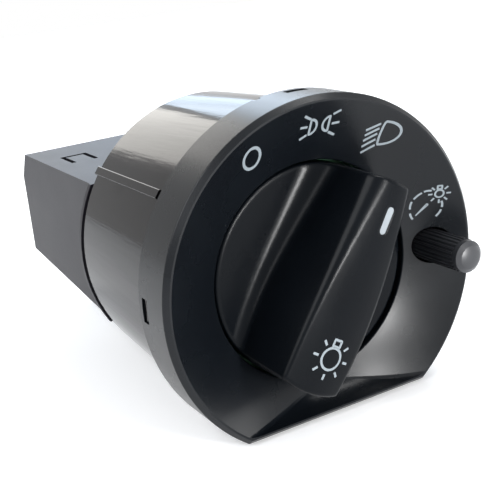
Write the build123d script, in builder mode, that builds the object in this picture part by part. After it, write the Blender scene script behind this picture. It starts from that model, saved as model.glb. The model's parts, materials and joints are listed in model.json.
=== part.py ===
from build123d import *
import os
from math import atan2, cos, degrees, hypot, radians, sin, sqrt

# Car light switch: a round dished bezel with a flat lower edge, a rotary knob with a bar grip,
# a fluted dimmer knob, a round sleeve behind the panel and a connector block at the rear.
# Millimetres. The origin is on the knob's axis where the bezel's rear edge seats on the panel.
# The driver looks along +Y, +X is to the right and +Z is up.
# A depth is measured from the bezel's outer front edge, and grows towards the rear.

# Bezel
rim_ledge = 3.9
seat_depth = 10.6
bevel = 1.0
rim_land = 0.4
dish_depth = 5.5
dish_sag = 0.35
bezel_wall = 1.8
skirt_wall = 1.9
well_length = 3.0
cove_height = 6.45
cove_sag = 1.1
crease_round = 1.2
edge_round = 0.35
snap_width = 5.0
snap_length = 2.2
snap_depth = 8.05
snap_angle = 178.4
notch_width = 1.6
notch_length = 0.9
notch_angle = 100.6

# Knob
knob_r = 22.6
knob_gap = 0.55
knob_sink = 0.55
knob_round = 0.6
knob_skirt = 3.6
knob_draft = 0.4
knob_wall = 1.9
bar_angle = 58.0
bar_overrun = 2.0
bar_front = 9.7
# Places along the bar: distance, height of the crest's edges, half width of the foot, width of
# the crest to the left and to the right, height of the crest's arch, the valley's radius, and
# the radii of the crest's left and right edges. The left edge softens towards the pointer.
bar_stations = (
    (-25.0, 8.2, 8.6, 7.5, 5.7, 0.8, 2.5, 0.9, 0.9),
    (-8.0, 8.75, 11.0, 7.4, 7.1, 0.85, 3.0, 1.1, 1.0),
    (8.0, 8.9, 9.4, 6.4, 6.0, 0.8, 4.5, 2.4, 1.2),
    (25.0, 8.7, 6.2, 5.2, 3.0, 0.5, 7.0, 4.6, 1.6),
)
hub_r = 6.2
hub_rear = 11.0
knob_pocket = 7.1
pointer_radius = 14.4
pointer_length = 5.6
pointer_width = 1.5
pointer_side = -0.5
pointer_front = 9.5
pointer_shoulder = 7.1
pointer_collar = 0.8
pointer_rear = 8.4
push_travel = 2.5

# Spindle and contact rotor
spindle_r = 3.45
spindle_flat = 2.6
spindle_front = -3.0
spindle_side = 5.6
spindle_rear = 33.0
rotor_tube_r = 6.74
rotor_tube_front = 15.3
rotor_disc_r = 18.0
rotor_disc_front = 25.3
rotor_disc_length = 3.5
rotor_hub_r = 4.6
rotor_rear = 33.6
rotor_tube_wall = 1.4
spring_seat = 21.0
position_step = 29.5
notch_depth = 0.7
notch_r = 1.3

# Dimmer
dimmer_ledge = 1.75
dimmer_z = -1.0
dimmer_r = 3.6
dimmer_gap = 0.5
dimmer_front = 9.8
dimmer_rear = 8.0
dimmer_travel = 10.0
dimmer_dome = 1.1
dimmer_cap = 1.1
dimmer_groove = 0.35
flute_count = 24
flute_r = 0.34
dimmer_guide_wall = 1.1
dimmer_shaft_r = 1.2
dimmer_shaft_flat = 0.85
dimmer_shaft_front = -8.0
dimmer_shaft_rear = 28.2
dimmer_spring_seat = -4.0
dimmer_well_wall = 0.5
dimmer_crown = 0.4
wiper_arm = 1.4
wiper_hub_r = 2.25
wiper_reach = 4.9
pot_front = 19.4
pot_length = 7.6
pot_half_height = 6.5
pot_side = 7.5
pot_wall = 1.2
pot_bore_r = 5.2
pot_hub_bore_r = 2.6

# Sleeve
sleeve_draft = 1.9
sleeve_front = 6.0
sleeve_rear = 49.8
sleeve_wall = 1.4
bulkhead_front = 15.0
bulkhead_wall = 2.0
bearing_wall = 2.2
rib_angle = 143.2
rib_width = 2.0
rib_height = 0.6
rib_front = 15.2
rib_overrun = 0.5
rib_round = 0.25

# Circuit board and lamps
board_wall = 1.5
board_bore_r = 10.5
lamp_size = 2.8
lamp_height = 1.5
symbol_inset = 5.8
guide_inset = 4.0
guide_width = 4.4
guide_length = 3.8
guide_start = 134.0
guide_span = 94.0
guide_leg_r = 1.2
guide_leg_angles = (126.0, 102.5, 73.5, 47.0)
lamp_angles = {"lamp_off": 117.5, "lamp_parking": 88.0, "lamp_headlight": 59.5, "lamp_dimmer": 19.5}

# Contacts
plate_front = 31.6
plate_wall = 2.4
plate_notch_side = 3.6
plate_ledge = 3.0
plate_notch_half = 3.0
track_wall = 0.3
track_width = 2.0
track_inner_r = 8.0
track_pitch = 3.5
track_count = 3
track_span = 210.0
bridge_wall = 0.4
bridge_width = 1.6
bridge_span = 50.0
bridge_foot_r = 0.7
bridge_turn = 120.0
blade_width = 2.8
blade_wall = 0.8
blade_row = 4.6
blade_pitch = 12.0
blade_count = 4
blade_tip = 98.0

# Detent
plunger_r = 2.0
plunger_length = 7.0
boss_wall = 1.2

# Rear block
block_half_width = 28.3
block_top = 16.9
block_bottom_front = 16.4
block_bottom_rear = 10.4
block_top_rear = 98.5
block_shoulder_z = 10.4
block_shoulder = 103.0
block_rear = 103.8
block_wall = 1.8
parting_gap = 0.9
cheek_wall = 1.2
cheek_lip = 0.3
lid_wall = 1.8
lid_rim = 1.5
post_r = 1.5
post_inset = 3.7
socket_floor = 86.0
socket_floor_wall = 3.0
socket_half_width = 24.0
socket_half_height = 7.4
tongue_inner_x = -16.8
tongue_outer_x = -22.6
tongue_root = 76.5
tongue_tip = 84.8
tongue_slit = 1.2

# Lock catch under the sleeve
catch_half_width = 4.0
catch_front = 18.4
catch_length = 5.0
catch_reach = 2.3
catch_height = 7.6
catch_travel = 2.2
catch_roof = 1.0
catch_shoulder = 0.9
catch_spring_room = 2.0

# Springs
return_spring_r = 4.6
return_wire_r = 0.35
return_turns = 4
dimmer_spring_r = 2.0
dimmer_wire_r = 0.25
dimmer_turns = 7
detent_spring_r = 1.3
detent_wire_r = 0.25
detent_turns = 4
catch_spring_r = 1.5
catch_wire_r = 0.25
catch_turns = 3

# Clearances
slip = 0.3
running = 0.06
touch = 0.05

# Places worked out from the sizes above
hole_r = knob_r + knob_gap
dimmer_hole_r = dimmer_r + dimmer_gap
dimmer_x = hole_r + dimmer_ledge + dimmer_hole_r
rim_r = dimmer_x + dimmer_hole_r + rim_ledge
flat_drop = hole_r + cove_height
sleeve_front_r = rim_r - skirt_wall - slip
sleeve_rear_r = sleeve_front_r - sleeve_draft
dish_rim_r = rim_r - bevel - rim_land
skirt_inner_r = sleeve_front_r + slip
dish_slope = (dish_depth + bevel) / (dish_rim_r - hole_r)
dish_back = bezel_wall * sqrt(1 + dish_slope ** 2) + dish_sag
bezel_flat_inner = flat_drop - bezel_wall
sleeve_flat = bezel_flat_inner - slip
sleeve_flat_inner = sleeve_flat - sleeve_wall
sleeve_slope = (sleeve_front_r - sleeve_rear_r) / (sleeve_rear - seat_depth)
knob_rear = dish_depth + knob_skirt
lid_rear = sleeve_rear
lid_front = lid_rear - lid_wall
lid_r = sleeve_rear_r - sleeve_wall - slip
post_radius = lid_r - post_inset
cheek_r = sleeve_rear_r + cheek_lip
symbol_r = rim_r - symbol_inset
guide_outer_r = rim_r - guide_inset
guide_inner_r = guide_outer_r - guide_width
pot_inner_x = dimmer_x - pot_side
plate_notch_x = dimmer_x - plate_notch_side
track_radii = [track_inner_r + track_pitch * step for step in range(track_count)]
blade_columns = [blade_pitch * (step - (blade_count - 1) / 2) for step in range(blade_count)]
cheek_front = sleeve_rear + parting_gap
board_front = bulkhead_front - touch - board_wall
lamp_front = board_front - lamp_height
bearing_r = rotor_tube_r + running
rotor_disc_rear = rotor_disc_front + rotor_disc_length
detent_depth = rotor_disc_front + rotor_disc_length / 2
detent_x = rotor_disc_r + slip
bulkhead_rear = bulkhead_front + bulkhead_wall
tab_length = snap_length - 2 * slip
cove_clear = dish_depth + bezel_wall + 2 * slip
tab_height = bezel_wall
dimmer_guide_front = dish_depth + well_length + slip
dimmer_guide_r = dimmer_hole_r + dimmer_guide_wall
catch_middle = catch_front + catch_length / 2
catch_pocket_half = catch_half_width + slip + catch_shoulder
catch_roof_z = -sleeve_flat - catch_reach + catch_height + catch_travel + catch_spring_room
knob_top = dish_depth + knob_sink
rotor_well_r = rotor_tube_r - rotor_tube_wall
plate_rear = plate_front + plate_wall
track_front = plate_front - touch - track_wall
blade_places = [(x, z) for z in (blade_row, -blade_row) for x in blade_columns]
lid_rim_width = 2 * (block_half_width - block_wall - slip)
lid_rim_height = block_top + block_bottom_front - 2 * (block_wall + slip)
dimmer_well_r = dimmer_r - flute_r - dimmer_well_wall
bar_reach = knob_r + bar_overrun
bar_direction = Vector(cos(radians(bar_angle)), 0, sin(radians(bar_angle)))
bar_normal = Vector(-sin(radians(bar_angle)), 0, cos(radians(bar_angle)))


def sleeve_r(depth):
    """The sleeve's outer radius at a depth: round under the bezel, then drafted."""
    return sleeve_front_r - max(0.0, depth - seat_depth) * sleeve_slope


plate_rib_r = sleeve_r(plate_front) - sleeve_wall - plate_ledge


def facing(depth):
    """A plane square to the axis, seen as the driver sees it: X right, Z up, normal forward."""
    return Plane.XZ.offset(seat_depth - depth)


def bar_plane(depth):
    """The same plane turned so that its X runs along the knob's bar, towards the pointer."""
    along = (cos(radians(bar_angle)), 0, sin(radians(bar_angle)))
    return Plane(origin=(0, depth - seat_depth, 0), x_dir=along, z_dir=(0, -1, 0))


def swept_section(angle):
    """A half section at this angle, for a revolve over part of a turn."""
    along = (cos(radians(angle)), 0, sin(radians(angle)))
    across = (-sin(radians(angle)), 0, cos(radians(angle)))
    return Plane(origin=(0, -seat_depth, 0), x_dir=along, z_dir=across)


def d_section(radius, flat):
    """A circle with one flat, which keeps a shaft from turning in its bore."""
    with BuildSketch() as section:
        Circle(radius)
        with Locations((0, flat + radius)):
            Rectangle(2 * radius, 2 * radius, mode=Mode.SUBTRACT)
    return section.sketch


def arc_band(radius, width, start, span):
    """A flat band along an arc about the axis, drawn as the driver sees it."""
    inner = radius - width / 2
    outer = radius + width / 2
    with BuildSketch() as band:
        with BuildLine():
            first = CenterArc((0, 0), inner, start, span)
            second = CenterArc((0, 0), outer, start, span)
            Line(first @ 0, second @ 0)
            Line(first @ 1, second @ 1)
        make_face()
    return band.sketch


def coil_section(coil):
    """A plane square to the start of a coil's wire."""
    return Plane(origin=coil @ 0, z_dir=coil % 0)


def at(radius, angle):
    """A point in the driver's view from a radius and an angle."""
    return (radius * cos(radians(angle)), radius * sin(radians(angle)))


def radial_section(angle):
    """A plane through the axis at this angle: its X is the depth and its Y is the radius."""
    return Plane(
        origin=(0, -seat_depth, 0),
        x_dir=(0, 1, 0),
        z_dir=(sin(radians(angle)), 0, -cos(radians(angle))),
    )


def outward(angle, radius):
    """A plane on a cylinder about the axis: its X is the depth and its normal points outward."""
    normal = Vector(cos(radians(angle)), 0, sin(radians(angle)))
    return Plane(origin=normal * radius - Vector(0, seat_depth, 0), x_dir=(0, 1, 0), z_dir=normal)


# Half sections are drawn on this plane: X is the radius and Y is the depth.
half_section = Plane(origin=(0, -seat_depth, 0), x_dir=(1, 0, 0), z_dir=(0, 0, 1))
# Side sections are drawn on this plane: X is the depth and Y is the height.
side_section = Plane(origin=(0, -seat_depth, 0), x_dir=(0, 1, 0), z_dir=(1, 0, 0))


def rings(part, radius, depth):
    """Circular edges about the axis at this radius and depth."""
    found = []
    for edge in part.edges().filter_by(GeomType.CIRCLE):
        on_depth = abs(edge.arc_center.Y + seat_depth - depth) < 0.01
        if on_depth and abs(edge.radius - radius) < 0.01:
            found.append(edge)
    return found


def finish(node, name):
    """Labels a finished piece and writes it."""
    node.part.label = name
    export_step(node.part, "parts/" + name + ".step")


os.makedirs("parts", exist_ok=True)


# Space in front of the bezel's dish, kept clear of the cove that rises to the flat lower edge
lip_z = -(flat_drop - bevel - rim_land)
cove_foot_z = -(hole_r + rim_land)
cove_turn = atan2(cove_foot_z - lip_z, dish_depth + bevel)
cove_middle = (
    (dish_depth - bevel) / 2 + cove_sag * sin(cove_turn),
    (lip_z + cove_foot_z) / 2 - cove_sag * cos(cove_turn),
)
dish_turn = atan2(dish_depth + bevel, dish_rim_r - hole_r)
dish_middle = (
    (dish_rim_r + hole_r) / 2 + dish_sag * sin(dish_turn),
    (dish_depth - bevel) / 2 + dish_sag * cos(dish_turn),
)
with BuildPart() as dish_space:
    with BuildSketch(half_section):
        with BuildLine():
            Polyline((hole_r, dish_depth), (hole_r, seat_depth + 1), (0, seat_depth + 1))
            Polyline((0, seat_depth + 1), (0, -bevel - 1), (dish_rim_r, -bevel - 1))
            Line((dish_rim_r, -bevel - 1), (dish_rim_r, -bevel))
            ThreePointArc((dish_rim_r, -bevel), dish_middle, (hole_r, dish_depth))
        make_face()
    revolve(axis=Axis.Y)
    with BuildSketch(side_section):
        with BuildLine():
            Polyline((-bevel, lip_z), (-bevel - 2, lip_z), (-bevel - 2, rim_r), (seat_depth + 2, rim_r))
            Polyline((seat_depth + 2, rim_r), (seat_depth + 2, cove_foot_z), (dish_depth, cove_foot_z))
            ThreePointArc((dish_depth, cove_foot_z), cove_middle, (-bevel, lip_z))
        make_face()
    extrude(amount=rim_r, both=True, mode=Mode.INTERSECT)
    # The dish runs softly into the cove at both lower corners
    creases = dish_space.edges().filter_by(GeomType.BSPLINE)
    fillet(creases, radius=crease_round)

# Hollow behind the bezel's face, inside its skirt
with BuildPart() as bezel_hollow:
    with BuildSketch(half_section):
        well_r = hole_r + bezel_wall
        well_rear = dish_depth + well_length
        with BuildLine():
            Polyline(
                (0, well_rear),
                (well_r, well_rear),
                (well_r, -bevel + (dish_rim_r - well_r) * dish_slope + dish_back),
                (skirt_inner_r, -bevel + (dish_rim_r - skirt_inner_r) * dish_slope + dish_back),
                (skirt_inner_r, seat_depth + 1),
                (0, seat_depth + 1),
                close=True,
            )
        make_face()
    revolve(axis=Axis.Y)
    with BuildSketch(side_section):
        with BuildLine():
            Polyline(
                (seat_depth + 2, -bezel_flat_inner),
                (cove_middle[0] + bezel_wall * 0.6, -bezel_flat_inner),
                (dish_depth + bezel_wall + 0.2, cove_foot_z - bezel_wall * 0.5),
                (-bevel, cove_foot_z - bezel_wall * 0.5),
                (-bevel, rim_r),
                (seat_depth + 2, rim_r),
                close=True,
            )
        make_face()
    extrude(amount=rim_r, both=True, mode=Mode.INTERSECT)

# Bezel: one moulding with a bevelled rim, a dished face, a well for the knob and a skirt
with BuildPart() as bezel:
    with BuildSketch(half_section):
        with BuildLine():
            Polyline(
                (0, seat_depth),
                (rim_r, seat_depth),
                (rim_r, 0),
                (rim_r - bevel, -bevel),
                (0, -bevel),
                close=True,
            )
        make_face()
    revolve(axis=Axis.Y)
    with BuildSketch(side_section):
        with BuildLine():
            Polyline(
                (seat_depth + 1, -flat_drop),
                (0, -flat_drop),
                (-bevel - 1, -flat_drop + bevel + 1),
                (-bevel - 1, -rim_r - 1),
                (seat_depth + 1, -rim_r - 1),
                close=True,
            )
        make_face()
    extrude(amount=rim_r + 1, both=True, mode=Mode.SUBTRACT)
    add(dish_space.part, mode=Mode.SUBTRACT)
    add(bezel_hollow.part, mode=Mode.SUBTRACT)
    fillet(rings(bezel.part, rim_r, 0) + rings(bezel.part, hole_r, dish_depth), radius=edge_round)
    for turn in range(3):
        with BuildSketch(outward(snap_angle - 90 * turn, skirt_inner_r - 1)):
            with Locations((snap_depth, 0)):
                Rectangle(snap_length, snap_width)
        extrude(amount=bezel_wall + 2, mode=Mode.SUBTRACT)
    with BuildSketch(outward(notch_angle, skirt_inner_r - 1)):
        with Locations((seat_depth, 0)):
            Rectangle(2 * notch_length, notch_width)
    extrude(amount=bezel_wall + 2, mode=Mode.SUBTRACT)
    with BuildSketch(facing(-bevel)):
        with Locations((dimmer_x, dimmer_z)):
            Circle(dimmer_hole_r)
    extrude(amount=-(seat_depth + bevel), mode=Mode.SUBTRACT)
finish(bezel, "bezel")

# Hollow of the sleeve, in front of the bulkhead and behind it
with BuildPart() as sleeve_hollow:
    with BuildSketch(half_section):
        with BuildLine():
            Polyline(
                (0, sleeve_front - 1),
                (sleeve_front_r - sleeve_wall, sleeve_front - 1),
                (sleeve_front_r - sleeve_wall, seat_depth),
                (sleeve_r(bulkhead_front) - sleeve_wall, bulkhead_front),
                (0, bulkhead_front),
                close=True,
            )
        make_face()
        with BuildLine():
            Polyline(
                (0, bulkhead_rear),
                (sleeve_r(bulkhead_rear) - sleeve_wall, bulkhead_rear),
                (sleeve_rear_r - sleeve_wall, sleeve_rear),
                (sleeve_rear_r - sleeve_wall, sleeve_rear + 1),
                (0, sleeve_rear + 1),
                close=True,
            )
        make_face()
    revolve(axis=Axis.Y)
    with Locations((0, 0, -sleeve_flat_inner - rim_r / 2)):
        Box(2 * rim_r, 4 * rim_r, rim_r, mode=Mode.SUBTRACT)

# Sleeve, bulkhead, bearings and guides: one moulding
with BuildPart() as housing:
    with BuildSketch(half_section):
        with BuildLine():
            Polyline(
                (0, sleeve_front),
                (sleeve_front_r, sleeve_front),
                (sleeve_front_r, seat_depth),
                (sleeve_rear_r, sleeve_rear),
                (0, sleeve_rear),
                close=True,
            )
        make_face()
    revolve(axis=Axis.Y)
    with Locations((0, 0, -sleeve_flat - rim_r / 2)):
        Box(2 * rim_r, 4 * rim_r, rim_r, mode=Mode.SUBTRACT)
    add(sleeve_hollow.part, mode=Mode.SUBTRACT)
    # The lower front edge stands back from the cove
    with BuildSketch(side_section):
        with BuildLine():
            Polyline(
                (sleeve_front - 1, cove_foot_z + slip),
                (cove_clear, cove_foot_z + slip),
                (cove_clear, -rim_r),
                (sleeve_front - 1, -rim_r),
                close=True,
            )
        make_face()
    extrude(amount=rim_r, both=True, mode=Mode.SUBTRACT)
    # Key rib along the outside
    with BuildSketch(radial_section(rib_angle)):
        with BuildLine():
            Polyline(
                (rib_front, sleeve_r(rib_front) - sleeve_wall / 2),
                (rib_front, sleeve_r(rib_front) + rib_height),
                (sleeve_rear + rib_overrun, sleeve_rear_r + rib_height),
                (sleeve_rear + rib_overrun, sleeve_rear_r - sleeve_wall / 2),
                close=True,
            )
        make_face()
    extrude(amount=rib_width / 2, both=True)
    rib_edges = []
    for edge in housing.edges().filter_by(GeomType.LINE):
        middle = edge.center()
        raised = hypot(middle.X, middle.Z) > sleeve_r(middle.Y + seat_depth) + rib_height - 0.1
        if raised and edge.length > rib_width + 1:
            rib_edges.append(edge)
    fillet(rib_edges, radius=rib_round)
    # Ramped tabs that snap into the bezel's windows
    for turn in range(3):
        with BuildSketch(radial_section(snap_angle - 90 * turn)):
            with BuildLine():
                Polyline(
                    (snap_depth - tab_length / 2, sleeve_front_r - sleeve_wall / 2),
                    (snap_depth - tab_length / 2, sleeve_front_r + slip / 2),
                    (snap_depth + tab_length / 2 - tab_height / 2, sleeve_front_r + tab_height),
                    (snap_depth + tab_length / 2, sleeve_front_r + tab_height),
                    (snap_depth + tab_length / 2, sleeve_front_r - sleeve_wall / 2),
                    close=True,
                )
            make_face()
        extrude(amount=snap_width / 2 - slip, both=True)
    # Bearing for the rotor
    with BuildSketch(facing(bulkhead_rear)):
        Circle(bearing_r + bearing_wall)
    extrude(amount=-(rotor_disc_front - slip - bulkhead_rear))
    # Guide for the dimmer knob, through the bulkhead
    with BuildSketch(facing(dimmer_guide_front)):
        with Locations((dimmer_x, dimmer_z)):
            Circle(dimmer_guide_r)
    extrude(amount=-(pot_front - slip - dimmer_guide_front))
    # Guide for the detent plunger
    with BuildSketch(Plane.YZ.offset(-rotor_disc_r - 1)):
        with Locations((detent_depth - seat_depth, 0)):
            Circle(plunger_r + running + boss_wall)
    extrude(amount=-(sleeve_r(detent_depth) - sleeve_wall / 2 - rotor_disc_r - 1))
    # Ribs that the contact plate sits on
    for turn in range(4):
        with BuildSketch(radial_section(45 + 90 * turn)):
            with BuildLine():
                Polyline(
                    (bulkhead_rear, plate_rib_r),
                    (plate_front - slip, plate_rib_r),
                    (plate_front - slip, sleeve_r(plate_front) - sleeve_wall / 2),
                    (bulkhead_rear, sleeve_r(bulkhead_rear) - sleeve_wall / 2),
                    close=True,
                )
            make_face()
        extrude(amount=sleeve_wall / 2, both=True)
    # Box around the lock catch
    with BuildSketch(Plane.XY.offset(-sleeve_flat)):
        with Locations((0, catch_middle - seat_depth)):
            Rectangle(2 * (catch_pocket_half + sleeve_wall), catch_length + 2 * (slip + sleeve_wall))
    extrude(amount=catch_roof_z + catch_roof + sleeve_flat)
    with BuildSketch(Plane.XY.offset(-sleeve_flat_inner)):
        with Locations((0, catch_middle - seat_depth)):
            Rectangle(2 * catch_pocket_half, catch_length + 2 * slip)
    extrude(amount=catch_roof_z + sleeve_flat_inner, mode=Mode.SUBTRACT)
    with BuildSketch(Plane.XY.offset(-sleeve_flat - 1)):
        with Locations((0, catch_middle - seat_depth)):
            Rectangle(2 * (catch_half_width + slip), catch_length + 2 * slip)
    extrude(amount=sleeve_wall + 2, mode=Mode.SUBTRACT)
    # Bores
    with BuildSketch(facing(bulkhead_front - 1)):
        Circle(bearing_r)
    extrude(amount=-(rotor_disc_front - bulkhead_front + 1), mode=Mode.SUBTRACT)
    with BuildSketch(facing(dimmer_guide_front - 1)):
        with Locations((dimmer_x, dimmer_z)):
            Circle(dimmer_hole_r)
    extrude(amount=-(pot_front - dimmer_guide_front + 1), mode=Mode.SUBTRACT)
    with BuildSketch(Plane.YZ.offset(-rotor_disc_r)):
        with Locations((detent_depth - seat_depth, 0)):
            Circle(plunger_r + running)
    extrude(amount=-(sleeve_r(detent_depth) - sleeve_wall - rotor_disc_r), mode=Mode.SUBTRACT)
finish(housing, "housing")


def bar_section(station, inset=0):
    """The knob's outline square to the bar at one station, or the hollow's if there is an inset."""
    along, front, foot, left, right, arch, valley_round, left_round, right_round = station
    origin = bar_direction * along - Vector(0, seat_depth, 0)
    with BuildSketch(Plane(origin=origin, x_dir=bar_normal, z_dir=-bar_direction)) as section:
        with BuildLine():
            ThreePointArc(
                (-right + inset, -front + inset),
                ((left - right) / 2, -front - arch + inset),
                (left - inset, -front + inset),
            )
            if inset:
                Polyline((left - inset, -front + inset), (foot - inset, knob_pocket))
                Polyline((foot - inset, knob_pocket), (-foot + inset, knob_pocket))
                Polyline((-foot + inset, knob_pocket), (-right + inset, -front + inset))
            else:
                Polyline((left, -front), (foot, knob_top), (bar_reach, knob_top), (bar_reach, knob_rear))
                Polyline((bar_reach, knob_rear), (-bar_reach, knob_rear), (-bar_reach, knob_top))
                Polyline((-bar_reach, knob_top), (-foot, knob_top), (-right, -front))
        make_face()
        if not inset:
            crest_rounds = ((left, left_round), (-right, right_round))
            valley_rounds = ((foot, valley_round), (-foot, valley_round))
            for place, radius in crest_rounds + valley_rounds:
                corners = section.vertices()
                fillet([corner for corner in corners if abs(corner.X - place) < 0.01], radius=radius)
    return section.sketch


# Hollow under the knob: inside the bar, and a ring pocket behind the disc
with BuildPart() as knob_hollow:
    loft([bar_section(station, inset=knob_wall) for station in bar_stations])
    with BuildSketch(facing(knob_pocket)):
        Circle(knob_r + 1)
    extrude(amount=-(knob_rear - knob_pocket + 1))
    with BuildSketch(facing(-bar_front)):
        Circle(knob_r - knob_draft - knob_wall)
        Circle(hub_r, mode=Mode.SUBTRACT)
    extrude(amount=-(bar_front + knob_rear + 2), mode=Mode.INTERSECT)

# Knob: a disc and its bar in one loft along the bar, cut round by a drafted cylinder
with BuildPart() as knob:
    loft([bar_section(station) for station in bar_stations])
    with BuildSketch(half_section):
        with BuildLine():
            Polyline(
                (0, -bar_front - 1),
                (knob_r - knob_draft, -bar_front - 1),
                (knob_r, dish_depth),
                (knob_r, knob_rear),
                (0, knob_rear),
                close=True,
            )
        make_face()
    revolve(axis=Axis.Y, mode=Mode.INTERSECT)
    # One small radius all round: along the rim, up the valleys and over both ends of the bar
    end_edges = []
    for edge in knob.edges():
        middle = edge.center()
        outside = hypot(middle.X, middle.Z) > knob_r - knob_draft - 1.5
        if outside and middle.Y + seat_depth < -bar_front + 2:
            end_edges.append(edge)
    fillet(end_edges, radius=knob_round)
    add(knob_hollow.part, mode=Mode.SUBTRACT)
    # Hub behind the disc, with a D bore for the spindle
    with BuildSketch(facing(knob_pocket)):
        Circle(hub_r)
    extrude(amount=-(hub_rear - knob_pocket))
    with BuildSketch(bar_plane(spindle_front - slip)):
        add(d_section(spindle_r + touch, spindle_flat + touch))
    extrude(amount=-(hub_rear - spindle_front + 1), mode=Mode.SUBTRACT)
    with BuildSketch(bar_plane(-bar_front - 1)):
        with Locations((pointer_radius, pointer_side)):
            SlotOverall(pointer_length + 2 * touch, pointer_width + 2 * touch)
    extrude(amount=-(bar_front + 1 - pointer_shoulder + 1), mode=Mode.SUBTRACT)
finish(knob, "knob")

# Light pipe in the pointer slot: it carries the lamp's light through the hollow bar
with BuildPart() as knob_indicator:
    with BuildSketch(bar_plane(-pointer_front)):
        with Locations((pointer_radius, pointer_side)):
            SlotOverall(pointer_length, pointer_width)
    extrude(amount=-(pointer_rear + pointer_front))
    with BuildSketch(bar_plane(-pointer_shoulder)):
        with Locations((pointer_radius, pointer_side)):
            SlotOverall(pointer_length + 2 * pointer_collar, pointer_width + 2 * pointer_collar)
    extrude(amount=-pointer_collar)
finish(knob_indicator, "knob_indicator")

# Spindle: a D end in the knob and a square end that slides through the rotor
with BuildPart() as knob_spindle:
    with BuildSketch(bar_plane(spindle_front)):
        add(d_section(spindle_r, spindle_flat))
    extrude(amount=-(hub_rear - spindle_front))
    with BuildSketch(bar_plane(hub_rear)):
        Rectangle(spindle_side, spindle_side)
    extrude(amount=-(spindle_rear - hub_rear))
finish(knob_spindle, "knob_spindle")

# Contact rotor: a bearing tube, a disc with detent notches in its rim and a rear hub
with BuildPart() as contact_rotor:
    with BuildSketch(facing(rotor_tube_front)):
        Circle(rotor_tube_r)
    extrude(amount=-(rotor_disc_front - rotor_tube_front))
    with BuildSketch(facing(rotor_disc_front)):
        Circle(rotor_disc_r)
        for step in range(3):
            with Locations(at(rotor_disc_r + notch_r - notch_depth, 180 - step * position_step)):
                Circle(notch_r, mode=Mode.SUBTRACT)
    extrude(amount=-rotor_disc_length)
    with BuildSketch(facing(rotor_disc_rear)):
        Circle(rotor_hub_r)
    extrude(amount=-(rotor_rear - rotor_disc_rear))
    with BuildSketch(facing(rotor_tube_front)):
        Circle(rotor_well_r)
    extrude(amount=-(spring_seat - rotor_tube_front), mode=Mode.SUBTRACT)
    with BuildSketch(bar_plane(rotor_tube_front)):
        Rectangle(spindle_side + 2 * touch, spindle_side + 2 * touch)
    extrude(amount=-(rotor_rear - rotor_tube_front), mode=Mode.SUBTRACT)
finish(contact_rotor, "contact_rotor")

# Sprung bridges on the rotor's rear face, one for each track, with a foot at each end
for number, radius in enumerate(track_radii, start=1):
    middle = bridge_turn * number
    with BuildPart() as contact_bridge:
        with BuildSketch(facing(rotor_disc_rear + touch)):
            add(arc_band(radius, bridge_width, middle - bridge_span / 2, bridge_span))
        extrude(amount=-bridge_wall)
        with BuildSketch(facing(rotor_disc_rear + touch)):
            with Locations(at(radius, middle - bridge_span / 2), at(radius, middle + bridge_span / 2)):
                Circle(bridge_foot_r)
        extrude(amount=-(track_front - slip - rotor_disc_rear - touch))
    finish(contact_bridge, f"contact_bridge_{number}")

# Contact plate: it closes the contact space and bears the rotor's rear hub
with BuildPart() as contact_plate:
    with BuildSketch(facing(plate_front)):
        Circle(sleeve_r(plate_rear) - sleeve_wall - slip)
        with Locations((0, -sleeve_flat_inner + slip - rim_r / 2)):
            Rectangle(2 * rim_r, rim_r, mode=Mode.SUBTRACT)
        with Locations((dimmer_x, dimmer_z)):
            SlotOverall(2 * (dimmer_x - plate_notch_x), 2 * plate_notch_half, mode=Mode.SUBTRACT)
        Circle(rotor_hub_r + running, mode=Mode.SUBTRACT)
        with Locations(*blade_places):
            Rectangle(blade_width + 2 * touch, blade_wall + 2 * touch, mode=Mode.SUBTRACT)
    extrude(amount=-plate_wall)
finish(contact_plate, "contact_plate")

# Contact tracks on the plate's front face
for number, radius in enumerate(track_radii, start=1):
    with BuildPart() as contact_track:
        with BuildSketch(facing(track_front)):
            add(arc_band(radius, track_width, bridge_turn * number - track_span / 2, track_span))
        extrude(amount=-track_wall)
    finish(contact_track, f"contact_track_{number}")

# Flat blades from the contact plate to the rear socket
for number, (x, z) in enumerate(blade_places, start=1):
    with BuildPart() as terminal:
        with BuildSketch(facing(plate_front + slip)):
            with Locations((x, z)):
                Rectangle(blade_width, blade_wall)
        extrude(amount=-(blade_tip - plate_front - slip))
        tip_face = terminal.faces().sort_by(Axis.Y)[-1]
        chamfer(tip_face.edges(), length=blade_wall / 3)
    finish(terminal, f"terminal_{number}")

# Lid that closes the sleeve, with a rim that locates the rear block and posts to the plate
with BuildPart() as rear_lid:
    with BuildSketch(facing(lid_front)):
        Circle(lid_r)
        with Locations((0, -sleeve_flat_inner + slip - rim_r / 2)):
            Rectangle(2 * rim_r, rim_r, mode=Mode.SUBTRACT)
    extrude(amount=-lid_wall)
    with BuildSketch(facing(lid_rear)):
        with Locations((0, (block_top - block_bottom_front) / 2)):
            Rectangle(lid_rim_width, lid_rim_height)
            Rectangle(lid_rim_width - 2 * lid_rim, lid_rim_height - 2 * lid_rim, mode=Mode.SUBTRACT)
    extrude(amount=-(cheek_front + cheek_wall - lid_rear))
    with BuildSketch(facing(plate_rear + slip)):
        with Locations(*[at(post_radius, 45 + 90 * turn) for turn in range(4)]):
            Circle(post_r)
    extrude(amount=-(lid_front - plate_rear - slip))
    with BuildSketch(facing(lid_front)):
        with Locations(*blade_places):
            Rectangle(blade_width + 2 * touch, blade_wall + 2 * touch)
    extrude(amount=-lid_wall, mode=Mode.SUBTRACT)
finish(rear_lid, "rear_lid")

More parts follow.
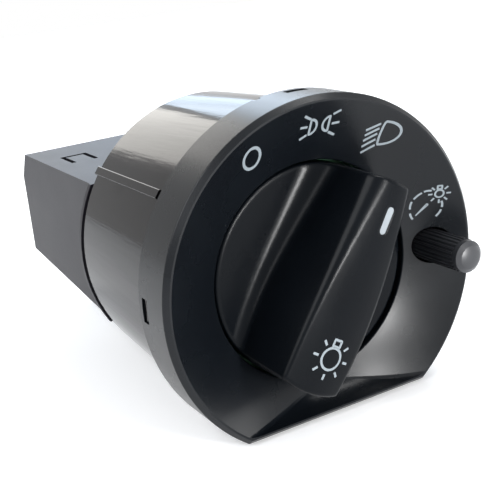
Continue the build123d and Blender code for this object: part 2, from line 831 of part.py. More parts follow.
# Hollow of the rear block, around the socket that stands in it
with BuildPart() as block_hollow:
    with BuildSketch(side_section):
        with BuildLine():
            Polyline(
                (cheek_front - 1, block_top - block_wall),
                (block_top_rear - block_wall / 2, block_top - block_wall),
                (block_shoulder - block_wall, block_shoulder_z - block_wall / 3),
                (block_rear - block_wall, -block_bottom_rear + block_wall),
                (cheek_front - 1, -block_bottom_front + block_wall),
                close=True,
            )
        make_face()
    extrude(amount=block_half_width - block_wall, both=True)
    with BuildSketch(facing(socket_floor)):
        Rectangle(2 * (socket_half_width + block_wall), 2 * (socket_half_height + block_wall))
    extrude(amount=-(block_rear - socket_floor), mode=Mode.SUBTRACT)

# Rear block: the connector's housing, one moulding with its flange and tongue
with BuildPart() as rear_block:
    with BuildSketch(side_section):
        with BuildLine():
            Polyline(
                (cheek_front, block_top),
                (block_top_rear, block_top),
                (block_shoulder, block_shoulder_z),
                (block_rear, -block_bottom_rear),
                (cheek_front, -block_bottom_front),
                close=True,
            )
        make_face()
    extrude(amount=block_half_width, both=True)
    with BuildSketch(facing(cheek_front)):
        Circle(cheek_r)
        with Locations((0, block_top + rim_r / 2), (0, -block_bottom_front - rim_r / 2)):
            Rectangle(2 * rim_r, rim_r, mode=Mode.SUBTRACT)
    extrude(amount=-cheek_wall)
    add(block_hollow.part, mode=Mode.SUBTRACT)
    with BuildSketch(facing(socket_floor + socket_floor_wall)):
        Rectangle(2 * socket_half_width, 2 * socket_half_height)
    extrude(amount=-(block_rear - socket_floor), mode=Mode.SUBTRACT)
    with BuildSketch(facing(socket_floor)):
        with Locations(*blade_places):
            Rectangle(blade_width + 2 * touch, blade_wall + 2 * touch)
    extrude(amount=-(block_rear - socket_floor), mode=Mode.SUBTRACT)
    # Slits around the tongue in the top
    with BuildSketch(Plane.XY.offset(block_top + 1)):
        tongue_middle = (tongue_root + tongue_tip) / 2 - seat_depth
        tongue_length = tongue_tip - tongue_root
        with Locations((tongue_inner_x, tongue_middle), (tongue_outer_x, tongue_middle)):
            Rectangle(tongue_slit, tongue_length)
        with Locations(((tongue_inner_x + tongue_outer_x) / 2, tongue_tip - seat_depth)):
            Rectangle(tongue_inner_x - tongue_outer_x + tongue_slit, tongue_slit)
    extrude(amount=-(block_wall + 2), mode=Mode.SUBTRACT)
finish(rear_block, "rear_block")

# Circuit board in front of the bulkhead, around the rotor's bearing and the dimmer's guide
with BuildPart() as circuit_board:
    with BuildSketch(facing(board_front)):
        Circle(sleeve_r(bulkhead_front) - sleeve_wall - slip)
        with Locations((0, -sleeve_flat_inner + slip - rim_r / 2)):
            Rectangle(2 * rim_r, rim_r, mode=Mode.SUBTRACT)
        Circle(board_bore_r, mode=Mode.SUBTRACT)
        with Locations((dimmer_x + dimmer_guide_r / 2, dimmer_z)):
            SlotOverall(3 * dimmer_guide_r + slip, 2 * (dimmer_guide_r + slip), mode=Mode.SUBTRACT)
    extrude(amount=-board_wall)
finish(circuit_board, "circuit_board")

# Lamps behind the symbols, and one that follows the pointer's rest position
lamp_places = {name: at(symbol_r, angle) for name, angle in lamp_angles.items()}
lamp_places["lamp_pointer"] = at(pointer_radius, bar_angle)
for name, place in lamp_places.items():
    with BuildPart() as lamp:
        with BuildSketch(facing(lamp_front)):
            with Locations(place):
                Rectangle(lamp_size, lamp_size)
        extrude(amount=-(lamp_height - touch))
    finish(lamp, name)

# Light guide behind the symbols, shaped to the back of the dish, on legs
with BuildPart() as light_guide:
    guide_inner_front = -bevel + (dish_rim_r - guide_inner_r) * dish_slope + dish_back + slip
    guide_outer_front = -bevel + (dish_rim_r - guide_outer_r) * dish_slope + dish_back + slip
    with BuildSketch(swept_section(guide_start)):
        with BuildLine():
            Polyline(
                (guide_inner_r, guide_inner_front),
                (guide_outer_r, guide_outer_front),
                (guide_outer_r, guide_inner_front + guide_length),
                (guide_inner_r, guide_inner_front + guide_length),
                close=True,
            )
        make_face()
    revolve(axis=Axis.Y, revolution_arc=guide_span)
    with BuildSketch(facing(guide_inner_front + guide_length)):
        with Locations(*[at((guide_inner_r + guide_outer_r) / 2, angle) for angle in guide_leg_angles]):
            Circle(guide_leg_r)
    extrude(amount=-(board_front - touch - guide_inner_front - guide_length))
finish(light_guide, "light_guide")

# Dimmer knob: fluted, with a plain domed end behind a groove
with BuildPart() as dimmer_knob:
    dimmer_axis = Axis((dimmer_x, 0, dimmer_z), (0, 1, 0))
    cap_rear = -dimmer_front + dimmer_dome + dimmer_cap
    with BuildSketch(Plane(origin=(dimmer_x, -seat_depth, dimmer_z), x_dir=(1, 0, 0), z_dir=(0, 0, 1))):
        with BuildLine():
            Polyline(
                (dimmer_r - dimmer_dome, -dimmer_front + dimmer_crown),
                (dimmer_r - flute_r / 2, -dimmer_front + dimmer_dome),
                (dimmer_r - flute_r / 2, cap_rear),
                (dimmer_r - dimmer_groove, cap_rear),
                (dimmer_r - dimmer_groove, cap_rear + dimmer_groove),
                (dimmer_r, cap_rear + dimmer_groove),
                (dimmer_r, dimmer_rear),
                (0, dimmer_rear),
                (0, -dimmer_front),
            )
            Spline(
                (0, -dimmer_front),
                (dimmer_r - dimmer_dome, -dimmer_front + dimmer_crown),
                tangents=((1, 0), (1, 0.4)),
            )
        make_face()
    revolve(axis=dimmer_axis)
    with BuildSketch(facing(cap_rear + dimmer_groove)):
        with Locations((dimmer_x, dimmer_z)):
            with PolarLocations(dimmer_r, flute_count):
                Circle(flute_r)
    extrude(amount=-(dimmer_rear - cap_rear), mode=Mode.SUBTRACT)
    with BuildSketch(facing(dimmer_shaft_front - slip)):
        with Locations((dimmer_x, dimmer_z)):
            add(d_section(dimmer_shaft_r + touch, dimmer_shaft_flat + touch))
    extrude(amount=-(dimmer_rear - dimmer_shaft_front), mode=Mode.SUBTRACT)
    with BuildSketch(facing(dimmer_spring_seat)):
        with Locations((dimmer_x, dimmer_z)):
            Circle(dimmer_well_r)
    extrude(amount=-(dimmer_rear - dimmer_spring_seat), mode=Mode.SUBTRACT)
finish(dimmer_knob, "dimmer_knob")

# Dimmer shaft: it is fixed in the knob and slides through the wiper's hub
with BuildPart() as dimmer_shaft:
    with BuildSketch(facing(dimmer_shaft_front)):
        with Locations((dimmer_x, dimmer_z)):
            add(d_section(dimmer_shaft_r, dimmer_shaft_flat))
    extrude(amount=-(dimmer_shaft_rear - dimmer_shaft_front))
finish(dimmer_shaft, "dimmer_shaft")

# Wiper: a hub with a bore for the shaft and one arm
with BuildPart() as dimmer_wiper:
    with BuildSketch(facing(pot_front + pot_wall + slip)):
        with Locations((dimmer_x, dimmer_z)):
            Circle(wiper_hub_r)
        with Locations((dimmer_x - wiper_reach / 2, dimmer_z)):
            SlotOverall(wiper_reach, wiper_hub_r)
        with Locations((dimmer_x, dimmer_z)):
            add(d_section(dimmer_shaft_r + touch, dimmer_shaft_flat + touch), mode=Mode.SUBTRACT)
    extrude(amount=-wiper_arm)
    with BuildSketch(facing(pot_front + pot_wall + slip + wiper_arm)):
        with Locations((dimmer_x, dimmer_z)):
            Circle(wiper_hub_r)
            add(d_section(dimmer_shaft_r + touch, dimmer_shaft_flat + touch), mode=Mode.SUBTRACT)
    extrude(amount=-(pot_length - 2 * pot_wall - 2 * slip - wiper_arm))
finish(dimmer_wiper, "dimmer_wiper")

# Potentiometer's case, rounded on the side that faces the sleeve
with BuildPart() as potentiometer:
    with BuildSketch(facing(pot_front)):
        Circle(sleeve_r(pot_front + pot_length) - sleeve_wall - slip)
        with Locations((pot_inner_x + rim_r / 2, dimmer_z)):
            Rectangle(rim_r, 2 * pot_half_height, mode=Mode.INTERSECT)
        with Locations((dimmer_x, dimmer_z)):
            Circle(dimmer_shaft_r + slip, mode=Mode.SUBTRACT)
    extrude(amount=-pot_length)
    with BuildSketch(facing(pot_front + pot_wall)):
        with Locations((dimmer_x, dimmer_z)):
            Circle(pot_bore_r)
            with Locations((pot_hub_bore_r - pot_bore_r, 0)):
                Rectangle(2 * pot_bore_r, 2 * pot_bore_r, mode=Mode.INTERSECT)
    extrude(amount=-(pot_length - 2 * pot_wall), mode=Mode.SUBTRACT)
finish(potentiometer, "potentiometer")

# Detent plunger with a rounded tip, in its guide beside the rotor's rim
with BuildPart() as detent_plunger:
    with BuildSketch(Plane.XY.offset(0)):
        with BuildLine():
            CenterArc((-detent_x - plunger_r, detent_depth - seat_depth), plunger_r, 0, 90)
            Polyline(
                (-detent_x, detent_depth - seat_depth),
                (-detent_x - plunger_length, detent_depth - seat_depth),
                (-detent_x - plunger_length, detent_depth - seat_depth + plunger_r),
                (-detent_x - plunger_r, detent_depth - seat_depth + plunger_r),
            )
        make_face()
    revolve(axis=Axis((0, detent_depth - seat_depth, 0), (1, 0, 0)))
finish(detent_plunger, "detent_plunger")

# Lock catch: pushing the knob in draws it up and frees the switch from the panel
with BuildPart() as lock_catch:
    with BuildSketch(Plane.XY.offset(-sleeve_flat - catch_reach)):
        with Locations((0, catch_middle - seat_depth)):
            Rectangle(2 * catch_half_width, catch_length)
    extrude(amount=catch_height)
    with BuildSketch(Plane.XY.offset(-sleeve_flat_inner + slip)):
        with Locations((0, catch_middle - seat_depth)):
            Rectangle(2 * (catch_pocket_half - slip), catch_length)
    extrude(amount=catch_height - catch_reach - sleeve_wall - slip)
    # Ramp on the rear side, which lifts the catch as the switch goes in
    with BuildSketch(side_section):
        with BuildLine():
            Polyline(
                (catch_front + 1, -sleeve_flat - catch_reach),
                (catch_front + catch_length, -sleeve_flat + slip),
                (catch_front + catch_length + 1, -sleeve_flat - catch_reach),
                close=True,
            )
        make_face()
    extrude(amount=catch_half_width + 1, both=True, mode=Mode.SUBTRACT)
finish(lock_catch, "lock_catch")


def spring(name, radius, wire, turns, start, length, direction):
    """A compression spring from its seat, with an even pitch and a light six-sided wire."""
    with BuildPart() as coil_spring:
        with BuildLine() as coil:
            Helix(pitch=length / turns, height=length, radius=radius, center=start, direction=direction)
        with BuildSketch(coil_section(coil.line)):
            RegularPolygon(radius=wire, side_count=6)
        sweep(is_frenet=True)
    finish(coil_spring, name)


spring(
    "return_spring",
    return_spring_r,
    return_wire_r,
    return_turns,
    (0, hub_rear + touch + return_wire_r - seat_depth, 0),
    spring_seat - hub_rear - 2 * (touch + return_wire_r),
    (0, 1, 0),
)
spring(
    "dimmer_spring",
    dimmer_spring_r,
    dimmer_wire_r,
    dimmer_turns,
    (dimmer_x, dimmer_spring_seat + touch + dimmer_wire_r - seat_depth, dimmer_z),
    pot_front - dimmer_spring_seat - 2 * (touch + dimmer_wire_r),
    (0, 1, 0),
)
detent_spring_length = sleeve_r(detent_depth) - sleeve_wall - detent_x - plunger_length
spring(
    "detent_spring",
    detent_spring_r,
    detent_wire_r,
    detent_turns,
    (-detent_x - plunger_length - slip / 2 - detent_wire_r, detent_depth - seat_depth, 0),
    detent_spring_length - slip - 2 * detent_wire_r,
    (-1, 0, 0),
)
catch_top = -sleeve_flat - catch_reach + catch_height
spring(
    "catch_spring",
    catch_spring_r,
    catch_wire_r,
    catch_turns,
    (0, catch_middle - seat_depth, catch_top + touch + catch_wire_r),
    catch_roof_z - catch_top - 2 * (touch + catch_wire_r),
    (0, 0, 1),
)
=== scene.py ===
import json
from math import cos, hypot, radians, sin

import bmesh
import bpy
from mathutils import Euler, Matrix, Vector
from mathutils.bvhtree import BVHTree


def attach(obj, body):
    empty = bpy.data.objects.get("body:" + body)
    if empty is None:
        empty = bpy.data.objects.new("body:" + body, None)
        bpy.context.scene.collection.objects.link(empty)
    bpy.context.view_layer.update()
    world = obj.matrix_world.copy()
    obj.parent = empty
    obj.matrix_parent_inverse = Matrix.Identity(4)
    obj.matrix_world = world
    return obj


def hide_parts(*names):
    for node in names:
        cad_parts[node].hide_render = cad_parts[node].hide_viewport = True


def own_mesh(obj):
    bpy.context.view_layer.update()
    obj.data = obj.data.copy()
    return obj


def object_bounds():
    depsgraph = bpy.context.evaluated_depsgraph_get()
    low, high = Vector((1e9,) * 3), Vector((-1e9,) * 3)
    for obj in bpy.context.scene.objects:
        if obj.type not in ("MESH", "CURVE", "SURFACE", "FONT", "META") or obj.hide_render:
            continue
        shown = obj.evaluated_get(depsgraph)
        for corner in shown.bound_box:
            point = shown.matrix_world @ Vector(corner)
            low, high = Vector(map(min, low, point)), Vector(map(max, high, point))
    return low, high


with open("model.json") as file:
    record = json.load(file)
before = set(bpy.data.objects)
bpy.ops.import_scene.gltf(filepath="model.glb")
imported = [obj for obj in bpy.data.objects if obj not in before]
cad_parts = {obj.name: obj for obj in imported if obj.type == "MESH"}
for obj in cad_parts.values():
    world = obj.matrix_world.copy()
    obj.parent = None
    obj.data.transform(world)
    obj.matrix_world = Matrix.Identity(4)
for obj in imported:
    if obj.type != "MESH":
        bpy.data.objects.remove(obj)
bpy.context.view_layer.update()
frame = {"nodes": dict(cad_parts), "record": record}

# Metres, in the CAD frame: Y runs from the driver into the panel, X to the right and Z up.
MM = 0.001
nodes = frame["nodes"]

# Camera, fitted to the photograph's circles and edges. Its place is in metres, its turn in degrees.
CAMERA_PLACE = (-0.10347, -0.16917, 0.06912)
CAMERA_TURN = (71.844, 5.837, -30.427)
CAMERA_NEAR = 0.01
CAMERA_FAR = 20.0
SENSOR_MM = 36.0
FOCAL_PIXELS = 999.6
FRAME_PIXELS = 500

# Printing, in millimetres: ink is a ribbon of faces, a little in front of the face that it lies on.
# Rays that look for that face start in front of the object.
PRINT_LIFT = 0.03
PRINT_STEP = 0.12
RAY_START = -50.0
RIBBON_SIDES = (-1.0, -0.5, 0.0, 0.5, 1.0)
ARC_STEPS = 28

# Symbols: places and line ends in millimetres, in the driver's view. The ends are measured from
# each symbol's place. A parking lamp is the X of its flat side and how far its round side bulges,
# and the headlight's size is how far its front bulges and half its height.
OFF_PLACE = (-13.68, 27.05)
OFF_RADIUS = 2.05
OFF_TALLNESS = 1.06
OFF_STROKE = 0.64
PARKING_PLACE = (1.95, 30.5)
PARKING_STROKE = 0.5
PARKING_LAMPS = ((-2.17, 1.5), (2.13, -1.4))
PARKING_HALF_HEIGHT = 1.55
PARKING_RAYS = (
    ((-4.1, 2.65), (-2.4, 1.7)),
    ((-4.5, 0.25), (-2.8, 0.15)),
    ((-4.2, -2.25), (-2.6, -1.55)),
    ((2.65, 1.85), (4.25, 2.45)),
    ((2.85, -0.15), (4.55, -0.15)),
    ((2.4, -1.85), (4.0, -2.75)),
)
HEADLIGHT_PLACE = (16.6, 26.2)
HEADLIGHT_TILT = -9.7
HEADLIGHT_STROKE = 0.5
HEADLIGHT_SIZE = (4.05, 2.45)
HEADLIGHT_BACK = 0.3
HEADLIGHT_BACK_ANGLES = (60, 30, 0, -30, -60)
HEADLIGHT_RAYS = (
    ((-3.6, 1.15), (-0.65, 2.15)),
    ((-3.6, 0.05), (-0.75, 1.15)),
    ((-3.7, -1.1), (-0.95, 0.05)),
    ((-3.8, -2.35), (-1.05, -1.2)),
    ((-3.8, -3.7), (-0.95, -2.45)),
)
GAUGE_PLACE = (27.8, 8.3)
GAUGE_STROKE = 0.42
GAUGE_SAG = 0.12
GAUGE_DASHES = (
    ((-2.5, -2.95), (-3.05, -1.55)),
    ((-3.1, -0.6), (-2.8, 1.1)),
    ((-2.45, 1.6), (-0.9, 2.85)),
    ((-0.55, 3.05), (0.95, 3.1)),
    ((2.95, 0.55), (3.1, -0.9)),
    ((2.95, -1.4), (2.0, -2.85)),
)
DASH_STEPS = 8
NEEDLE = ((0.2, 0.0), (-1.97, -2.2))
NEEDLE_WIDTHS = (0.62, 0.25)
HUB_RADIUS = 0.16
HUB_STROKE = 0.32

# Bulbs: the ring's radius, the stroke, where the rays start and end, and the socket's half width,
# lower edge and upper edge
GAUGE_BULB_PLACE = (30.27, 10.55)
GAUGE_BULB = (0.82, 0.36, 1.3, 2.15, (0.42, 1.05, 1.8))
KNOB_BULB_PLACE = (-7.25, -12.45)
KNOB_BULB_TILT = -33.0
KNOB_BULB = (2.25, 0.5, 3.2, 4.4, (0.85, 2.55, 3.9))
BULB_RAYS = 7
BULB_RAY_TURN = 45

# Surfaces: noise scales are per metre and depths in metres. Drawing marks are stretched along Y.
GRAIN_DETAIL = 3.0
GRAIN_DEPTH = 0.00005
BROAD_SCALE = 60.0
BROAD_DETAIL = 5.0
MARKS_SCALE = 420.0
MARKS_DETAIL = 4.0
MARKS_DEPTH = 0.00004
MARKS_STRETCH = (1.0, 0.06, 1.0)
EDGE_SAMPLES = 8

# Floor, in metres, and how much brighter it shows than it is lit
FLOOR_HALF = 1.0
FLOOR_GAP = 0.0002
FLOOR_TONE = 0.9
FLOOR_ROUGHNESS = 0.9
FLOOR_LIFT = 0.30

# The world: a strength of 1 where it is seen, and an even grey light
SEEN_WHITE = (1, 1, 1, 1)
WORLD_GREY = (0.55, 0.58, 0.62, 1)
WORLD_STRENGTH = 0.6

# Lamps: place and size in metres, power in watts and colour. All face one point in the object.
LAMP_AIM = (0, 0.02, 0)
WHITE = (1, 1, 1)
LAMPS = {
    "back_panel": ((0.06, 1.08, 0.45), (0.44, 0.32), 1.6, (1.0, 0.975, 0.92)),
    "back_window": ((0.50, 0.92, 0.53), (0.45, 0.45), 2.6, (0.70, 0.84, 1.0)),
    "low_window": ((0.38, 1.10, 0.25), (0.40, 0.14), 0.50, (0.62, 0.79, 1.0)),
    "ceiling": ((0.45, 0.0, 1.10), (0.5, 0.5), 8, WHITE),
    "front_window": ((0.17, -1.16, 0.03), (0.30, 0.12), 14, WHITE),
    "cove_window": ((0.24, -1.08, 0.44), (0.26, 0.24), 7, WHITE),
    "left_wall": ((-0.87, -0.08, 0.78), (0.8, 0.8), 11, (0.97, 0.98, 1.0)),
    "right_window": ((1.05, -0.45, 0.12), (0.35, 0.35), 1.5, WHITE),
}


def arc(x, z, radius, start, end, tallness=1.0):
    """Points along an arc, angles in degrees."""
    points = []
    for step in range(ARC_STEPS + 1):
        angle = radians(start + (end - start) * step / ARC_STEPS)
        points.append((x + radius * cos(angle), z + radius * tallness * sin(angle)))
    return points


def circle(x, z, radius, tallness=1.0):
    """Points round a circle or an upright oval, the first one not repeated."""
    return arc(x, z, radius, 0, 360, tallness)[:-1]


def lines(ends, stroke):
    """Straight strokes."""
    return [([start, end], stroke, False) for start, end in ends]


def bowed(start, end, sag):
    """A line that bows away from the symbol's middle."""
    points = []
    for step in range(DASH_STEPS + 1):
        t = step / DASH_STEPS
        x, z = start[0] + (end[0] - start[0]) * t, start[1] + (end[1] - start[1]) * t
        reach = hypot(x, z) or 1.0
        out = 4 * sag * t * (1 - t) / reach
        points.append((x * (1 + out), z * (1 + out)))
    return points


def moved(strokes, place, turn=0.0):
    """Strokes turned about their own origin and set down at a place."""
    c, s = cos(radians(turn)), sin(radians(turn))
    out = []
    for points, width, closed in strokes:
        points = [(place[0] + c * x - s * z, place[1] + s * x + c * z) for x, z in points]
        out.append((points, width, closed))
    return out


def resampled(points, closed):
    """The same line with its points close together, so that it can follow a curved face."""
    ring = points + [points[0]] if closed else points
    out = [ring[0]]
    for a, b in zip(ring, ring[1:]):
        count = max(1, int(hypot(b[0] - a[0], b[1] - a[1]) / PRINT_STEP))
        for k in range(1, count + 1):
            out.append((a[0] + (b[0] - a[0]) * k / count, a[1] + (b[1] - a[1]) * k / count))
    return out[:-1] if closed else out


def ribbon(bm, face_tree, line, width, closed):
    """A strip of faces along a line, laid on the face that a ray from the driver meets. A width of
    two numbers tapers from the first to the second."""
    count = len(line)
    first_width, last_width = width if isinstance(width, tuple) else (width, width)
    rows = []
    for k, (x, z) in enumerate(line):
        before = line[(k - 1) % count] if closed or k else line[k]
        after = line[(k + 1) % count] if closed or k < count - 1 else line[k]
        dx, dz = after[0] - before[0], after[1] - before[1]
        length = hypot(dx, dz) or 1.0
        half = (first_width + (last_width - first_width) * k / max(1, count - 1)) / 2
        row = []
        for side in RIBBON_SIDES:
            px = (x - dz / length * half * side) * MM
            pz = (z + dx / length * half * side) * MM
            hit = face_tree.ray_cast(Vector((px, RAY_START * MM, pz)), Vector((0, 1, 0)))[0]
            py = hit.y if hit else 0.0
            row.append(bm.verts.new((px, py - PRINT_LIFT * MM, pz)))
        rows.append(row)
    pairs = list(zip(rows, rows[1:]))
    if closed:
        pairs.append((rows[-1], rows[0]))
    for row, following in pairs:
        for k in range(len(RIBBON_SIDES) - 1):
            bm.faces.new((row[k], row[k + 1], following[k + 1], following[k]))


def printed(name, strokes, node, body, material):
    """Flat ink on the front of a CAD piece. A stroke is its points, its width and whether it closes."""
    target = nodes[node].data
    face_tree = BVHTree.FromPolygons(
        [vertex.co.copy() for vertex in target.vertices],
        [tuple(face.vertices) for face in target.polygons],
    )
    bm = bmesh.new()
    for points, width, closed in strokes:
        ribbon(bm, face_tree, resampled(points, closed), width, closed)
    bmesh.ops.recalc_face_normals(bm, faces=bm.faces)
    mesh = bpy.data.meshes.new(name)
    bm.to_mesh(mesh)
    bm.free()
    piece = bpy.data.objects.new(name, mesh)
    bpy.context.collection.objects.link(piece)
    mesh.materials.append(material)
    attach(piece, body)


def noise(tree, vector, scale, detail):
    """A noise pattern, as a socket."""
    pattern = tree.nodes.new("ShaderNodeTexNoise")
    pattern.inputs["Scale"].default_value = scale
    pattern.inputs["Detail"].default_value = detail
    tree.links.new(vector, pattern.inputs["Vector"])
    return pattern.outputs["Fac"]


def relief(tree, height, strength, depth):
    """A bump node that reads a height."""
    bump = tree.nodes.new("ShaderNodeBump")
    bump.inputs["Strength"].default_value = strength
    bump.inputs["Distance"].default_value = depth
    tree.links.new(height, bump.inputs["Height"])
    return bump


def drawn_marks(tree, place, strength):
    """The normals of fine drawing marks along Y."""
    stretched = tree.nodes.new("ShaderNodeMapping")
    stretched.inputs["Scale"].default_value = MARKS_STRETCH
    tree.links.new(place, stretched.inputs["Vector"])
    marks = noise(tree, stretched.outputs["Vector"], MARKS_SCALE, MARKS_DETAIL)
    return relief(tree, marks, strength, MARKS_DEPTH).outputs["Normal"]


def rounded_edges(tree, radius_mm):
    """Normals that shade edges as if they were rounded."""
    edges = tree.nodes.new("ShaderNodeBevel")
    edges.samples = EDGE_SAMPLES
    edges.inputs["Radius"].default_value = radius_mm * MM
    return edges.outputs["Normal"]


def surface(
    name, color, roughness, grain=900.0, bump=0.15, spread=0.08, mottle=0.25, metallic=0.0,
    shine=0.5, soft=0.0, streak=0.0,
):
    """Moulded plastic or metal: a fine grain, with gloss and tone that vary slowly over it. Soft is
    the radius of its shaded edges in millimetres, and streak the strength of its drawing marks."""
    material = bpy.data.materials.new(name)
    material.use_nodes = True
    tree = material.node_tree
    shader = tree.nodes["Principled BSDF"]
    shader.inputs["Metallic"].default_value = metallic
    shader.inputs["Specular IOR Level"].default_value = shine
    place = tree.nodes.new("ShaderNodeTexCoord").outputs["Object"]
    broad = noise(tree, place, BROAD_SCALE, BROAD_DETAIL)

    gloss = tree.nodes.new("ShaderNodeMapRange")
    gloss.inputs["To Min"].default_value = roughness - spread
    gloss.inputs["To Max"].default_value = roughness + spread
    tree.links.new(broad, gloss.inputs["Value"])
    tree.links.new(gloss.outputs["Result"], shader.inputs["Roughness"])

    tone = tree.nodes.new("ShaderNodeMix")
    tone.data_type = "RGBA"
    tone.inputs["A"].default_value = (*[c * (1 - mottle) for c in color], 1)
    tone.inputs["B"].default_value = (*[min(1, c * (1 + mottle)) for c in color], 1)
    tree.links.new(broad, tone.inputs["Factor"])
    tree.links.new(tone.outputs["Result"], shader.inputs["Base Color"])

    skin = relief(tree, noise(tree, place, grain, GRAIN_DETAIL), bump, GRAIN_DEPTH)
    if streak:
        tree.links.new(drawn_marks(tree, place, streak), skin.inputs["Normal"])
    if soft:
        tree.links.new(rounded_edges(tree, soft), skin.inputs["Normal"])
    tree.links.new(skin.outputs["Normal"], shader.inputs["Normal"])
    return material


def bulb(radius, stroke, ray_inner, ray_outer, socket):
    """A lamp bulb seen from the side: a ring, a square socket above it and rays all round but there."""
    half, low, high = socket
    strokes = [
        (circle(0, 0, radius), stroke, True),
        ([(-half, low), (half, low), (half, high), (-half, high)], stroke, True),
    ]
    for step in range(BULB_RAYS):
        angle = radians(90 + BULB_RAY_TURN * (step + 1))
        inner = (ray_inner * cos(angle), ray_inner * sin(angle))
        outer = (ray_outer * cos(angle), ray_outer * sin(angle))
        strokes.append(([inner, outer], stroke, False))
    return strokes


def seen_rays(tree):
    """A socket that is 1 for camera, glossy and transmission rays, which show the surroundings."""
    ray = tree.nodes.new("ShaderNodeLightPath")
    either = tree.nodes.new("ShaderNodeMath")
    either.operation = "MAXIMUM"
    tree.links.new(ray.outputs["Is Camera Ray"], either.inputs[0])
    tree.links.new(ray.outputs["Is Glossy Ray"], either.inputs[1])
    any_of_them = tree.nodes.new("ShaderNodeMath")
    any_of_them.operation = "MAXIMUM"
    tree.links.new(either.outputs[0], any_of_them.inputs[0])
    tree.links.new(ray.outputs["Is Transmission Ray"], any_of_them.inputs[1])
    return any_of_them.outputs[0]


def floor_paint():
    """Pale matt paint that shows a little lighter than it is lit, so that only the shadow stands out."""
    paint = bpy.data.materials.new("floor_paint")
    paint.use_nodes = True
    tree = paint.node_tree
    shader = tree.nodes["Principled BSDF"]
    shader.inputs["Base Color"].default_value = (FLOOR_TONE, FLOOR_TONE, FLOOR_TONE, 1)
    shader.inputs["Roughness"].default_value = FLOOR_ROUGHNESS
    shader.inputs["Specular IOR Level"].default_value = 0.0
    shader.inputs["Emission Color"].default_value = SEEN_WHITE
    lifted = tree.nodes.new("ShaderNodeMath")
    lifted.operation = "MULTIPLY"
    lifted.inputs[1].default_value = FLOOR_LIFT
    tree.links.new(seen_rays(tree), lifted.inputs[0])
    tree.links.new(lifted.outputs[0], shader.inputs["Emission Strength"])
    return paint


def area_lamp(name, place, size, power, color):
    """A soft rectangular lamp that faces the object."""
    lamp_data = bpy.data.lights.new(name, "AREA")
    lamp_data.shape = "RECTANGLE"
    lamp_data.size, lamp_data.size_y = size
    lamp_data.energy = power
    lamp_data.color = color
    lamp_object = bpy.data.objects.new(name, lamp_data)
    lamp_object.location = place
    facing = Vector(LAMP_AIM) - Vector(place)
    lamp_object.rotation_euler = facing.to_track_quat("-Z", "Y").to_euler()
    bpy.context.collection.objects.link(lamp_object)


def white_world():
    """A world that shows white wherever it is seen and otherwise lights with an even grey."""
    world = bpy.data.worlds.new("studio")
    world.use_nodes = True
    tree = world.node_tree
    tree.nodes.clear()
    shown = tree.nodes.new("ShaderNodeBackground")
    shown.inputs["Color"].default_value = SEEN_WHITE
    lit = tree.nodes.new("ShaderNodeBackground")
    lit.inputs["Color"].default_value = WORLD_GREY
    lit.inputs["Strength"].default_value = WORLD_STRENGTH
    choose = tree.nodes.new("ShaderNodeMixShader")
    tree.links.new(seen_rays(tree), choose.inputs[0])
    tree.links.new(lit.outputs[0], choose.inputs[1])
    tree.links.new(shown.outputs[0], choose.inputs[2])
    out = tree.nodes.new("ShaderNodeOutputWorld")
    tree.links.new(choose.outputs[0], out.inputs["Surface"])
    return world


# Materials
satin = surface("bezel_satin", (0.003, 0.004, 0.0055), 0.27, grain=1400, bump=0.12, shine=0.24)
knob_black = surface(
    "knob_satin", (0.002, 0.0028, 0.004), 0.25,
    grain=1400, bump=0.12, spread=0.06, shine=0.09, soft=1.0,
)
sleeve_black = surface(
    "sleeve_gloss", (0.004, 0.0035, 0.0042), 0.11,
    grain=500, bump=0.05, spread=0.03, shine=0.15, streak=1.6,
)
block = surface(
    "block_matte", (0.010, 0.009, 0.013), 0.46,
    grain=1000, bump=0.2, spread=0.05, shine=0.25,
)
dimmer = surface("dimmer_satin", (0.018, 0.019, 0.022), 0.38, grain=1200, bump=0.2)
pale = surface("pale_moulding", (0.62, 0.60, 0.55), 0.5)
board = surface("board_green", (0.01, 0.09, 0.03), 0.4)
lamp = surface("lamp_white", (0.85, 0.85, 0.80), 0.25)
light = surface("pipe_white", (0.22, 0.245, 0.265), 0.35, grain=700, bump=0.05, mottle=0.05)
steel = surface("steel_drawn", (0.55, 0.55, 0.57), 0.3, metallic=1.0)
brass = surface("brass_bright", (0.75, 0.58, 0.28), 0.28, metallic=1.0)
ink = surface("symbol_ink", (0.19, 0.22, 0.24), 0.55, grain=1500, bump=0.1, mottle=0.06)

by_slot = {
    "satin_black_plastic": satin,
    "knob_black_plastic": knob_black,
    "gloss_black_plastic": sleeve_black,
    "block_plastic": block,
    "dimmer_plastic": dimmer,
    "pale_plastic": pale,
    "board": board,
    "lamp": lamp,
    "light_plastic": light,
    "steel": steel,
    "spring_steel": steel,
    "brass": brass,
}
for part in frame["record"]["subparts"]:
    for material_slot in nodes[part["node"]].material_slots:
        material_slot.material = by_slot[part["material_slot"]]

# Springs shorten in front of the piece that pushes them, so each is shown by a copy with a mesh of its
# own, on the body that holds it, and the CAD spring is hidden
behaviour = frame["record"]["behaviour"]
for joint in behaviour["joints"]:
    for spring in joint.get("deforming_nodes", ()):
        node = spring["node"]
        coil_mesh = nodes[node].data.copy()
        coil_mesh.transform(nodes[node].matrix_world)
        coil = bpy.data.objects.new(f"{node}_coil", coil_mesh)
        bpy.context.collection.objects.link(coil)
        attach(coil, next(body for body, held in behaviour["bodies"].items() if node in held))
        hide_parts(node)
        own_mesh(coil)

# Off: a ring
off = [(circle(0, 0, OFF_RADIUS, OFF_TALLNESS), OFF_STROKE, True)]
printed("symbol_off", moved(off, OFF_PLACE), "bezel", "body", ink)

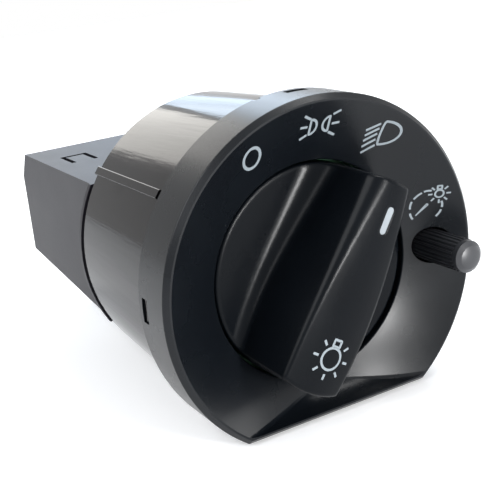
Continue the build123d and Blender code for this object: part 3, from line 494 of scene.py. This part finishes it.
# Side lights: two half-round lamps, back to back, with rays
parking = lines(PARKING_RAYS, PARKING_STROKE)
for flat_x, bulge in PARKING_LAMPS:
    rim = [(flat_x + bulge * x, PARKING_HALF_HEIGHT * z) for x, z in arc(0, 0, 1, -90, 90)]
    parking.append((rim, PARKING_STROKE, True))
printed("symbol_parking", moved(parking, PARKING_PLACE), "bezel", "body", ink)

# Headlight: a round front, a nearly flat back and five rays
wide, tall = HEADLIGHT_SIZE
rim = [(wide * x, tall * z) for x, z in arc(0, 0, 1, -90, 90)]
for turn in HEADLIGHT_BACK_ANGLES:
    rim.append((-HEADLIGHT_BACK * cos(radians(turn)), tall * sin(radians(turn))))
headlight = moved([(rim, HEADLIGHT_STROKE, True)], (0, 0), HEADLIGHT_TILT)
headlight += lines(HEADLIGHT_RAYS, HEADLIGHT_STROKE)
printed("symbol_headlight", moved(headlight, HEADLIGHT_PLACE), "bezel", "body", ink)

# Dimmer: a dashed gauge with a tapered needle on a hub, and a small bulb
gauge = [(bowed(start, end, GAUGE_SAG), GAUGE_STROKE, False) for start, end in GAUGE_DASHES]
gauge.append((list(NEEDLE), NEEDLE_WIDTHS, False))
gauge.append((circle(*NEEDLE[0], HUB_RADIUS), HUB_STROKE, True))
printed("symbol_dimmer", moved(gauge, GAUGE_PLACE), "bezel", "body", ink)
printed("symbol_dimmer_bulb", moved(bulb(*GAUGE_BULB), GAUGE_BULB_PLACE), "bezel", "body", ink)

# The bulb on the knob turns with it
knob_bulb = moved(bulb(*KNOB_BULB), KNOB_BULB_PLACE, KNOB_BULB_TILT)
printed("symbol_bulb", knob_bulb, "knob", "knob", ink)

# Floor
lowest_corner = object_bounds()[0]
floor_z = lowest_corner[2] - FLOOR_GAP
floor_corners = [
    (x * FLOOR_HALF, y * FLOOR_HALF, floor_z) for x, y in ((-1, -1), (1, -1), (1, 1), (-1, 1))
]
floor_mesh = bpy.data.meshes.new("floor")
floor_mesh.from_pydata(floor_corners, [], [(0, 1, 2, 3)])
floor_mesh.materials.append(floor_paint())
floor = bpy.data.objects.new("floor", floor_mesh)
bpy.context.collection.objects.link(floor)

# Lamps and world
for name, (place, size, power, color) in LAMPS.items():
    area_lamp(name, place, size, power, color)
bpy.context.scene.world = white_world()

# Camera
camera_data = bpy.data.cameras.new("camera")
camera_data.sensor_width = SENSOR_MM
camera_data.lens = SENSOR_MM * FOCAL_PIXELS / FRAME_PIXELS
camera_data.clip_start = CAMERA_NEAR
camera_data.clip_end = CAMERA_FAR
camera = bpy.data.objects.new("camera", camera_data)
camera.location = CAMERA_PLACE
camera.rotation_euler = Euler([radians(a) for a in CAMERA_TURN], "XYZ")
bpy.context.collection.objects.link(camera)
bpy.context.scene.camera = camera
bpy.context.scene.view_settings.view_transform = "Standard"
